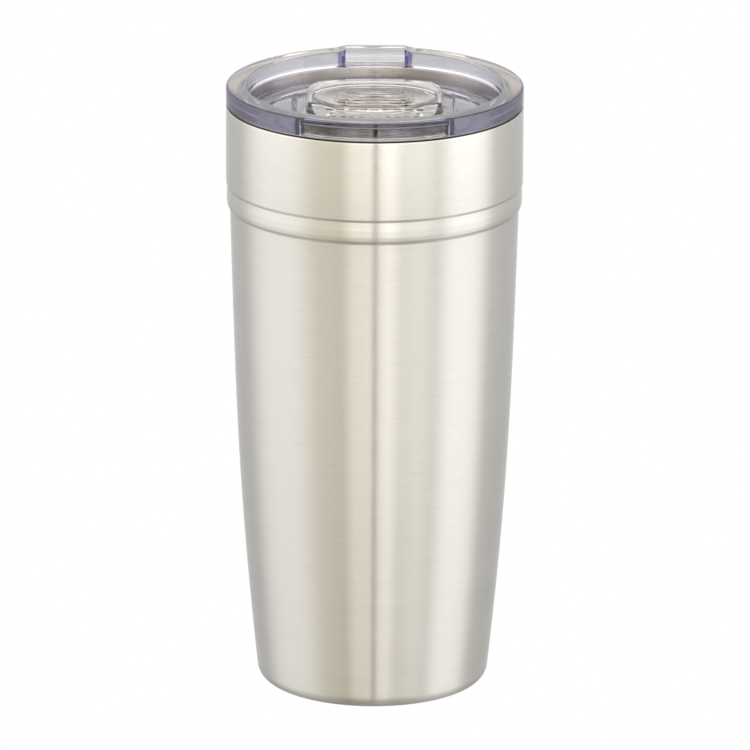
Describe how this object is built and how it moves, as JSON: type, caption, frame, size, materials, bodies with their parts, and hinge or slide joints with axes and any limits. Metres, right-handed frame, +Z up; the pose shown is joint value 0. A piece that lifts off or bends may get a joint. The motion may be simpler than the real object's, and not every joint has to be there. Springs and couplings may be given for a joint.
{
  "type": "insulated tumbler with lid",
  "caption": "Tapered double-wall stainless steel travel tumbler with a clear press-on lid and a sliding drink closure.",
  "frame": {"origin": "centre of the foot ring, on the surface the tumbler stands on", "axes": "+Z up along the cup's axis; -Y towards the drinking side of the lid, +Y towards its lift tab; +X to the right seen from the drinking side"},
  "size_m": [0.088, 0.0893, 0.1834],
  "materials": {
    "cup_steel": "fine circumferential brushing",
    "liner_steel": "satin, electropolished",
    "foil": "bright thin foil",
    "seal_glass": "dark sealing glass",
    "getter_alloy": "matte sintered pellet",
    "clear_lid": "clear, very slightly violet",
    "clear_slider": "clear",
    "silicone": "translucent white silicone"
  },
  "bodies": {
    "tumbler": {"outer_wall": "cup_steel", "inner_liner": "liner_steel", "radiation_foil": "foil", "base_cap": "cup_steel", "base_cover": "cup_steel", "vacuum_seal": "seal_glass", "getter_cup": "liner_steel", "getter_pellet": "getter_alloy"},
    "lid": {"lid_body": "clear_lid", "lid_gasket": "silicone"},
    "slider": {"slider": "clear_slider", "slider_retainer": "clear_slider", "slider_seal": "silicone"}
  },
  "joints": [
    {"name": "lid_lift", "type": "slide", "parent": "tumbler", "child": "lid", "axis": [0, 0, 1], "range_m": [0, 0.05]},
    {"name": "slider_slide", "type": "slide", "parent": "lid", "child": "slider", "axis": [0, 1, 0], "range_m": [0, 0.01]}
  ]
}
